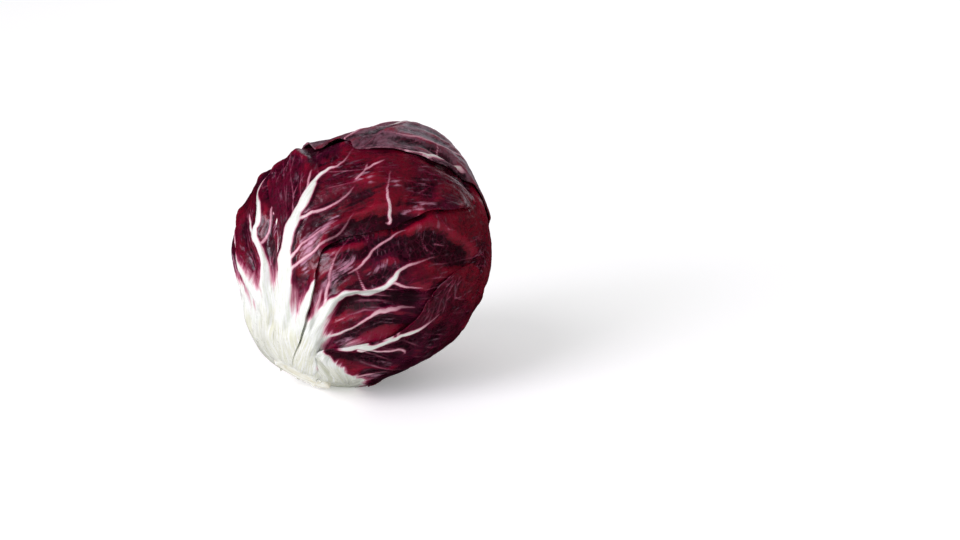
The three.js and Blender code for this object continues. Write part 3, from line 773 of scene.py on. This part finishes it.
class Shade:
    def __init__(self, name):
        self.material = bpy.data.materials.new(name)
        self.material.use_nodes = True
        self.tree = self.material.node_tree
        self.surface = self.tree.nodes["Principled BSDF"]

    def node(self, kind, settings=None, values=None):
        made = self.tree.nodes.new(kind)
        for key, value in (settings or {}).items():
            setattr(made, key, value)
        for key, value in (values or {}).items():
            self.feed(made.inputs[key], value)
        return made

    def feed(self, socket, value):
        if isinstance(value, Wire):
            self.tree.links.new(value.socket, socket)
        else:
            socket.default_value = value

    def finish(self, **values):
        for name, value in values.items():
            self.feed(self.surface.inputs[name.replace("_", " ")], value)

    def attribute(self, name):
        return Wire(self, self.node("ShaderNodeAttribute", {"attribute_name": name}).outputs["Fac"])

    def place(self):
        return Wire(self, self.node("ShaderNodeTexCoord").outputs["Object"])

    def flatPlace(self, name):
        return Wire(self, self.node("ShaderNodeUVMap", {"uv_map": name}).outputs["UV"])

    def stretched(self, place, scale):
        node = self.node("ShaderNodeMapping", {"vector_type": "POINT"}, {"Vector": place, "Scale": scale})
        return Wire(self, node.outputs["Vector"])

    def vector(self, operation, first, second=(0, 0, 0), output="Vector"):
        node = self.node("ShaderNodeVectorMath", {"operation": operation}, {0: first, 1: second})
        return Wire(self, node.outputs[output])

    def noise(self, place, scale, detail=3, roughness=0.5):
        node = self.node("ShaderNodeTexNoise", {}, {"Vector": place, "Scale": scale, "Detail": detail,
                                                    "Roughness": roughness})
        return Wire(self, node.outputs["Fac"])

    def cells(self, place, scale):
        node = self.node("ShaderNodeTexVoronoi", {"feature": "DISTANCE_TO_EDGE"},
                         {"Vector": place, "Scale": scale})
        return Wire(self, node.outputs["Distance"])

    def between(self, value, low, high, first=0.0, last=1.0):
        node = self.node("ShaderNodeMapRange", {"interpolation_type": "SMOOTHSTEP"},
                         {"Value": value, "From Min": low, "From Max": high, "To Min": first, "To Max": last})
        return Wire(self, node.outputs["Result"])

    def blend(self, factor, first, second):
        node = self.node("ShaderNodeMix", {"data_type": "RGBA", "clamp_factor": True})
        for at, value in ((0, factor), (6, first), (7, second)):
            self.feed(node.inputs[at], value)
        return Wire(self, node.outputs[2])

    # tints of the look laid one on the other, each with its factor
    def layered(self, base, look, *layers):
        for factor, tint in layers:
            base = self.blend(factor, base, look[tint])
        return base

    def bump(self, height, strength, distance):
        node = self.node("ShaderNodeBump", {}, {"Height": height, "Strength": strength, "Distance": distance})
        return Wire(self, node.outputs["Normal"])


# A screen colour as the linear one that a socket takes
def colour(*parts):
    return (*[((v / 255 + 0.055) / 1.055) ** 2.4 if v > 10 else v / 255 / 12.92 for v in parts], 1)


# Colours of the skin. The lit red and the lilac are painted highlight and gloss, the dark one serves both
# random tone and painted shade in folds, and the dusky purple and grey veil are partly painted shade and
# painted sheen.
leafLook = {"litRed": colour(136, 5, 38), "crimson": colour(108, 0, 24), "wine": colour(76, 0, 27),
            "dark": colour(30, 0, 13), "dusk": colour(60, 4, 32), "magenta": colour(146, 20, 72),
            "pink": colour(214, 158, 172), "cream": colour(219, 222, 218), "green": colour(200, 208, 190),
            "ivory": colour(196, 192, 154), "veilAndSheen": colour(128, 90, 106), "glossLilac": colour(200, 142, 166),
            "broadSize": 21, "patchSize": 55, "netSize": 330, "fleckSize": 420, "grainSize": 900,
            "fibreSize": (190, 9, 1), "streakSize": (46, 5, 1), "creaseSize": (11, 75, 1),
            "folds": 0.9, "creaseShading": 1.1, "crestGlints": 0.24, "paintedGloss": 0.65, "net": 0.35, "veins": 0.6,
            "coat": 0.3, "coatRoughness": 0.22, "specular": 0.4, "roughness": (0.26, 0.46),
            "bump": 0.3, "bumpDepth": 0.0008}


# The skin that all wrapper leaves share: red blade, veins, ribs and white base by the leaf's own fields, with
# painted shade in the folds and painted highlights and gloss
def leafMaterial():
    look = leafLook
    s = Shade("radicchio_leaf_skin")
    place, flat, veinwise = s.place(), s.flatPlace("blade"), s.flatPlace("veinwise")
    rib, size, vein, border, base, fold, dusk, tired, bloom = (s.attribute(name) for name in skinFields)
    broad = s.noise(place, look["broadSize"], 4, 0.55)
    patches = s.noise(place, look["patchSize"])
    fleck = s.noise(place, look["fleckSize"], 3, 0.6)
    fibres = s.noise(s.stretched(flat, look["fibreSize"]), 1, 4, 0.6)
    streaks = s.noise(s.stretched(flat, look["streakSize"]), 1)
    creases = s.noise(s.stretched(veinwise, look["creaseSize"]), 1, 5, 0.6)
    cells = s.cells(place, look["netSize"])
    patch, spot, fibre, streak, crease = (noise - 0.5 for noise in (patches, fleck, fibres, streaks, creases))
    # painted shade and highlight: how deep each place lies in a fold or a crease
    depth = fold + patch * 0.3 + crease * look["creaseShading"]
    net = s.between(cells, 0.02, 0.1, 1, 0) * s.between(patches, 0.35, 0.6, 0, 0.4)
    mesh = s.between(border + spot * 0.5, 0.05, 0.35, 1, 0) * s.between(streaks, 0.4, 0.7, 0, 1)
    # painted reflection: lilac gloss patches along the given courses
    paintedGloss = bloom * s.between(bloom + crease * 4 + patch * 1.5 + spot, 0.4, 1.3)
    # painted highlights on the crests of creases here and there
    crestGlint = s.between(creases + spot * 0.25, 0.56, 0.68) * s.between(patches, 0.42, 0.62)
    broken = s.between(patches, 0.45, 0.65, 0, 0.5)
    red = s.layered(
        s.blend(s.between(broad, 0.4, 0.62), look["crimson"], look["wine"]), look,
        # duller purple spots: partly the leaf's own tone and partly painted shade
        (s.between(dusk + patch * 0.8, 0.3, 0.75, 0, 0.85), "dusk"),
        # painted sheen: a grey veil on leaf 2's tip, partly its own greyer tone
        (tired * s.between(streaks + fibres, 0.7, 1.2, 0.45, 0.85), "veilAndSheen"),
        (s.between(patches, 0.45, 0.7) * 0.7, "dark"),
        (s.between(fleck, 0.45, 0.75) * 0.6, "dark"),
        # painted shade down in the folds and painted highlight on their crests
        (s.between(depth, 0, 0.4) * look["folds"], "dark"),
        (s.between(depth, -0.5, -0.1, 0.6, 0), "litRed"),
        # a faint net of fine veins, and the meshes of the pucker
        (net * look["net"], "magenta"),
        (mesh * look["net"], "magenta"),
        # painted reflections: the lilac gloss patches, and painted highlights on creases here and there
        (paintedGloss * look["paintedGloss"], "glossLilac"),
        (crestGlint * look["crestGlints"], "glossLilac"),
        # fine veins come and go, magenta and here and there pink
        (s.between(vein, -0.4, 0.1) * broken * look["veins"], "magenta"),
        (s.between(vein + spot * 0.3, 0, 0.3) * broken * 0.5, "pink"))
    pale = s.layered(s.blend(s.between(fibres, 0.35, 0.7), look["cream"], look["green"]), look,
                     (s.between(base, -20, -13, 0.4, 0) * s.between(fibres, 0.4, 0.6), "ivory"))
    # thin veins are pink where broad ribs are white, and fade where they end
    bold = s.between(size, 0.15, 0.55, 0.3, 1)
    ragged = base + streak * 22 + fibre * 16 + patch * 8
    skin = s.layered(
        red, look,
        (s.between(rib + fibre * 0.7, -0.8, 0.05) * bold * 0.6, "magenta"),
        (s.between(ragged, -4, 15, 0.8, 0), "magenta"),
        (s.between(ragged, -9, 7, 0.95, 0), "pink"),
        (s.between(rib + fibre * 0.4 + spot * 0.3, -0.25, 0.05) * bold * 0.7, "pink"))
    ribMask = s.between(rib + fibre * 0.8 + spot * 0.3, -0.15, 0.6)
    skin = s.blend(ribMask * bold, skin, s.blend(s.between(size, 0.3, 0.9), look["pink"], pale))
    skin = s.blend(s.between(ragged, -11, 0, 1, 0), skin, pale)
    grain = s.noise(place, look["grainSize"], 2)
    height = fibres * ribMask * 0.5 + creases * 1.2 + grain * 0.4 + cells * 0.8
    s.finish(Base_Color=skin, Roughness=tired * 0.15 + s.between(fleck, 0.3, 0.8, *look["roughness"]),
             Normal=s.bump(height, look["bump"], look["bumpDepth"]), Specular_IOR_Level=look["specular"],
             Coat_Weight=look["coat"], Coat_Roughness=look["coatRoughness"])
    return s.material


leafSkin = leafMaterial()
for number, leaf in enumerate(leaves, 1):
    piece = makeLeaf(number, leaf)
    piece.data.materials.append(leafSkin)
    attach(piece, "root")
    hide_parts(f"wrapper_leaf_{number:02d}")
print("wrapper leaves laid")

heartForm = {"radius": 57, "clearance": 0.3, "folds": 5, "foldDepth": 1.4, "twist": 2.2,
             "wrinkles": {5: (0.5, 9), 6: (0.3, 22)}, "segments": 160, "rings": 110,
             "socketFrom": 13.6, "socketTo": 17.5, "socketRadius": 22.2,
             "deep": colour(96, 8, 34), "red": colour(150, 40, 74), "line": colour(224, 190, 190),
             "patches": 60, "cells": 90}


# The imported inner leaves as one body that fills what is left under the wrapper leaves
def makeHeart():
    form = heartForm
    deselectAll()
    bpy.ops.mesh.primitive_uv_sphere_add(segments=form["segments"], ring_count=form["rings"], radius=1)
    piece = bpy.context.object
    piece.name = piece.data.name = "radicchio_heart"
    directions = vertexPlaces(piece)
    directions /= np.linalg.norm(directions, axis=1, keepdims=True)
    turns = np.arctan2(directions[:, 1], directions[:, 0]) / (2 * math.pi)
    fold = np.mod(form["folds"] * turns + form["twist"] * directions[:, 2], 1)
    wrinkle = sum(deep * softNoise(directions * often, seed)
                  for seed, (deep, often) in form["wrinkles"].items())
    room = np.minimum(coverOver(directions), groundAt(directions)) - blade["gap"] - form["clearance"]
    radius = np.minimum(form["radius"], room) - form["foldDepth"] * fold + np.minimum(wrinkle, 0)
    polar = np.degrees(np.arccos(-directions[:, 2]))
    radius = mix(form["socketRadius"], radius, rise(polar, form["socketFrom"], form["socketTo"]))
    placeVertices(piece, toScene(directions * radius[:, None]))
    faceOutwards(piece)
    piece.data.shade_smooth()
    return piece


def heartMaterial():
    look = heartForm
    s = Shade("radicchio_heart_skin")
    place = s.place()
    patches = s.noise(place, look["patches"], 4)
    lines = s.between(s.cells(place, look["cells"]), 0.02, 0.09, 1, 0)
    skin = s.blend(s.between(patches, 0.35, 0.65), look["deep"], look["red"])
    s.finish(Base_Color=s.blend(lines * 0.7, skin, look["line"]),
             Roughness=s.between(patches, 0.3, 0.7, 0.38, 0.5),
             Normal=s.bump(patches + lines * 0.4, 0.4, 0.0008))
    return s.material


heartPiece = makeHeart()
heartPiece.data.materials.append(heartMaterial())
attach(heartPiece, "root")
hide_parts("heart")
print("heart filled in")

stemForm = {"cutAt": 64.5, "shoulderAt": 42, "rootAt": 27, "neckAt": 24, "domeAt": 23,
            "sideAngle": 12.6, "rootRadius": 8, "neckRadius": 4.8, "sides": 64, "edge": 0.7,
            "cutRings": 9, "ringWidth": 1.3, "dish": 0.5, "dishRadius": 13, "roughRadius": 12,
            "pale": colour(228, 231, 222), "dull": colour(220, 219, 200),
            "ring": colour(186, 180, 132), "ringRadius": 8.6,
            "rim": colour(196, 170, 126), "rimRadius": (11.4, 12.8), "speck": colour(168, 128, 88)}


# The stem: a disc is drawn out level by level along the axis, and its cut edge is then rounded
def makeStem():
    form = stemForm
    slope = math.tan(math.radians(form["sideAngle"]))
    deselectAll()
    bpy.ops.mesh.primitive_circle_add(vertices=form["sides"], radius=slope * form["cutAt"], fill_type="NGON",
                                      location=(0, 0, -form["cutAt"]))
    piece = bpy.context.object
    piece.name = piece.data.name = "radicchio_cut_stem"
    bpy.ops.object.transform_apply(location=True, rotation=True, scale=True)
    levels = [(form["shoulderAt"], slope * form["shoulderAt"]), (form["rootAt"], form["rootRadius"]),
              (form["neckAt"], form["neckRadius"])]
    bpy.ops.object.mode_set(mode="EDIT")
    bpy.ops.mesh.select_all(action="SELECT")
    at, wide = form["cutAt"], slope * form["cutAt"]
    for below, radius in levels:
        bpy.ops.mesh.extrude_region_move(TRANSFORM_OT_translate={"value": (0, 0, at - below)})
        bpy.ops.transform.resize(value=(radius / wide, radius / wide, 1), center_override=(0, 0, -below))
        at, wide = below, radius
    bpy.ops.mesh.inset(thickness=wide * 0.6)
    bpy.ops.transform.translate(value=(0, 0, form["neckAt"] - form["domeAt"]))
    bpy.ops.object.mode_set(mode="OBJECT")
    bevel = piece.modifiers.new("cut edge", "BEVEL")
    bevel.width, bevel.segments, bevel.limit_method, bevel.angle_limit = form["edge"], 3, "ANGLE", 0.9
    applyModifiers(piece)
    # the cut face, the one large face at the foot, is inset ring by ring and dished a little
    bpy.ops.object.mode_set(mode="EDIT")
    bpy.ops.mesh.select_all(action="DESELECT")
    bpy.ops.object.mode_set(mode="OBJECT")
    for face in piece.data.polygons:
        face.select = face.center.z < 0.5 - form["cutAt"] and len(face.vertices) > 8
    bpy.ops.object.mode_set(mode="EDIT")
    for ring in range(form["cutRings"]):
        bpy.ops.mesh.inset(thickness=form["ringWidth"])
    bpy.ops.object.mode_set(mode="OBJECT")
    co = vertexPlaces(piece)
    away = np.hypot(co[:, 0], co[:, 1])
    onCut = co[:, 2] < 0.05 - form["cutAt"]
    uneven = 0.18 * softNoise(co / 2.6, 11) + 0.1 * np.sin(co[:, 0] * 1.9)
    dished = form["dish"] * (1 - (away / form["dishRadius"]) ** 2) + uneven * (away < form["roughRadius"])
    co[:, 2] += np.where(onCut, dished, 0)
    placeVertices(piece, toScene(co))
    faceOutwards(piece)
    piece.data.shade_smooth()
    bpy.ops.object.shade_smooth_by_angle(angle=math.radians(50))
    return piece


# Pale, with a faint ring on the cut face, a drier rim and brown specks
def stemMaterial():
    look = stemForm
    s = Shade("radicchio_cut_stem")
    place = s.place()
    axis = tuple(headTurn @ np.array([0, 0, 1]))
    offset = s.vector("SUBTRACT", place, tuple(headCentre))
    crossing = s.vector("CROSS_PRODUCT", offset, axis)
    fromAxis = s.vector("LENGTH", crossing, output="Value") * (1 / mm)
    patches = s.noise(place, 160, 4)
    fleck = s.noise(place, 900)
    ring = s.between((fromAxis + (patches - 0.5) * 1.6 - look["ringRadius"]).math("ABSOLUTE"), 0.2, 1.1, 1, 0)
    rim = s.between(fromAxis + (patches - 0.5) * 1.4, *look["rimRadius"])
    body = s.layered(s.blend(s.between(patches, 0.35, 0.7), look["pale"], look["dull"]), look,
                     (ring * 0.4, "ring"), (rim * 0.15, "rim"),
                     (s.between(fleck, 0.6, 0.8) * 0.4, "speck"))
    s.finish(Base_Color=body, Roughness=s.between(fleck, 0.3, 0.7, 0.5, 0.72),
             Normal=s.bump(fleck + patches, 0.4, 0.0005))
    return s.material


stemPiece = makeStem()
stemPiece.data.materials.append(stemMaterial())
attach(stemPiece, "root")
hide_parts("cut_stem")
print("cut stem made")

# Lights stand at an azimuth from the viewer, positive to the right, a height in degrees and a distance
white = (1, 1, 1, 1)
studio = {"floorSize": 10, "floorColour": colour(244, 244, 244), "floorGlow": 0.25, "worldStrength": 0.55,
          "camera": (0.055038, -1.013639, 0.301121), "lens": 85, "sensor": 36, "downwards": 17,
          "overhead": {"kind": "SUN", "place": (-50, 46, 2), "energy": 0.8, "angle": math.radians(30)},
          "key": {"kind": "AREA", "place": (-48, 20, 1.1), "energy": 8.4, "color": (0.94, 0.86, 1),
                  "size": 0.6},
          "back": {"kind": "AREA", "place": (160, 18, 1.2), "energy": 2, "color": (0.93, 0.9, 1),
                   "size": 0.8}}


def makeFloor():
    deselectAll()
    bpy.ops.mesh.primitive_plane_add(size=studio["floorSize"])
    floor = bpy.context.object
    floor.name = "studio_floor"
    paper = Shade("studio_paper")
    paper.finish(Base_Color=studio["floorColour"], Roughness=0.9, Emission_Color=white,
                 Emission_Strength=studio["floorGlow"])
    floor.data.materials.append(paper.material)
    floor.visible_glossy = False


def makeWorld():
    world = bpy.data.worlds.new("studio")
    world.use_nodes = True
    background = world.node_tree.nodes["Background"]
    background.inputs["Color"].default_value = white
    background.inputs["Strength"].default_value = studio["worldStrength"]
    bpy.context.scene.world = world
    world.cycles_visibility.glossy = False


def addToScene(name, data):
    made = bpy.data.objects.new(name, data)
    bpy.context.scene.collection.objects.link(made)
    return made


def addLight(name):
    settings = dict(studio[name])
    lamp = bpy.data.lights.new(name, settings.pop("kind"))
    azimuth, up, distance = settings.pop("place")
    for key, value in settings.items():
        setattr(lamp, key, value)
    a, e = math.radians(azimuth), math.radians(up)
    reach = Vector((math.sin(a) * math.cos(e), -math.cos(a) * math.cos(e), math.sin(e))) * distance
    carrier = addToScene(name, lamp)
    carrier.location = headCentre + reach
    carrier.rotation_euler = (-reach).to_track_quat("-Z", "Y").to_euler()
    return carrier


makeFloor()
makeWorld()
addLight("overhead").visible_glossy = False
addLight("key")
addLight("back")
bpy.context.scene.view_settings.view_transform = "Standard"

camera = addToScene("camera", bpy.data.cameras.new("camera"))
camera.data.lens = studio["lens"]
camera.data.sensor_width = studio["sensor"]
camera.location = headCentre + Vector(studio["camera"])
camera.rotation_euler = (math.radians(90 - studio["downwards"]), 0, 0)
bpy.context.scene.camera = camera
print("studio lit")
